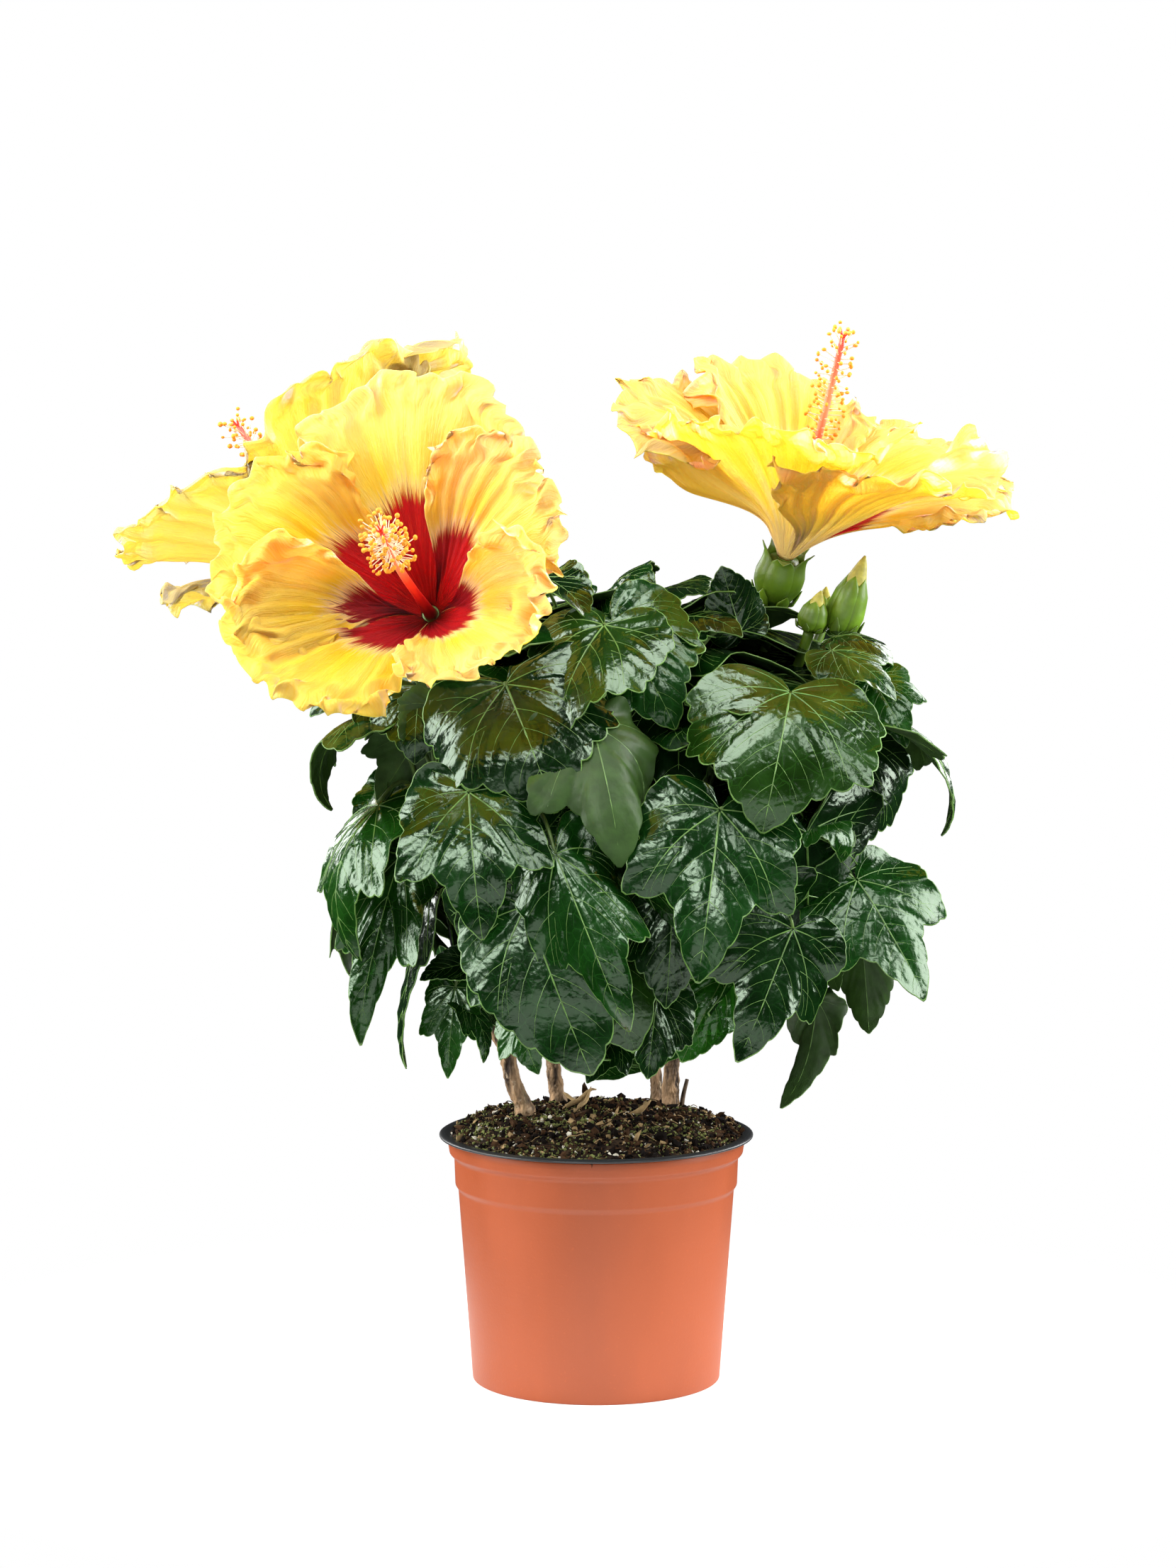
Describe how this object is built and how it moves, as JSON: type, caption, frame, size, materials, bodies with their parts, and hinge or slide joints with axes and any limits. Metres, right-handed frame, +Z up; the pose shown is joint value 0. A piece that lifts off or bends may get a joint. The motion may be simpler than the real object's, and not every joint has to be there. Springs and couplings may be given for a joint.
{
  "type": "potted hibiscus shrub",
  "caption": "Potted hibiscus shrub: woody stems with bushy drooping leaves, large open funnel blooms and buds, growing from peat in a round plastic nursery pot.",
  "frame": {"origin": "centre of the pot's flat underside", "axes": "+Z up; the two near blooms and the densest foliage face -Y; +X is the side of the upright bloom and its buds"},
  "size_m": [0.3587, 0.2729, 0.4315],
  "materials": {
    "terracotta_plastic": "satin",
    "black_plastic": "satin",
    "peat": "matte",
    "bark": "matte",
    "leaf": "satin",
    "petal": "matte",
    "column": "satin",
    "calyx": "satin"
  },
  "bodies": {
    "root": {"pot_shell": "terracotta_plastic", "pot_lining": "black_plastic", "root_ball": "peat", "bloom_back_calyx": "calyx", "bloom_back_column": "column", "bloom_back_petal_1": "petal", "bloom_back_petal_2": "petal", "bloom_back_petal_3": "petal", "bloom_back_petal_4": "petal", "bloom_back_petal_5": "petal", "bloom_front_calyx": "calyx", "bloom_front_column": "column", "bloom_front_petal_1": "petal", "bloom_front_petal_2": "petal", "bloom_front_petal_3": "petal", "bloom_front_petal_4": "petal", "bloom_front_petal_5": "petal", "bloom_right_calyx": "calyx", "bloom_right_column": "column", "bloom_right_petal_1": "petal", "bloom_right_petal_2": "petal", "bloom_right_petal_3": "petal", "bloom_right_petal_4": "petal", "bloom_right_petal_5": "petal", "bough_back_left": "bark", "bough_back_right": "bark", "bough_centre": "bark", "bough_front_left": "bark", "bough_front_right": "bark", "bough_left": "bark", "bough_right": "bark", "bud_large": "calyx", "bud_rear": "calyx", "bud_small": "calyx", "drape_back_left": "leaf", "drape_back_right": "leaf", "drape_left_lower": "leaf", "drape_left_middle": "leaf", "drape_left_upper": "leaf", "drape_low_left": "leaf", "drape_low_right": "leaf", "drape_right_lower": "leaf", "drape_right_middle": "leaf", "drape_right_upper": "leaf", "foliage_back_left": "leaf", "foliage_back_right": "leaf", "foliage_front_left": "leaf", "foliage_front_right": "leaf", "foliage_left": "leaf", "foliage_right": "leaf", "foliage_top": "leaf", "skirt_back": "leaf", "skirt_front": "leaf", "skirt_left": "leaf", "skirt_right": "leaf", "stem_back": "bark", "stem_left": "bark", "stem_rear_right": "bark", "stem_right": "bark"}
  },
  "joints": []
}
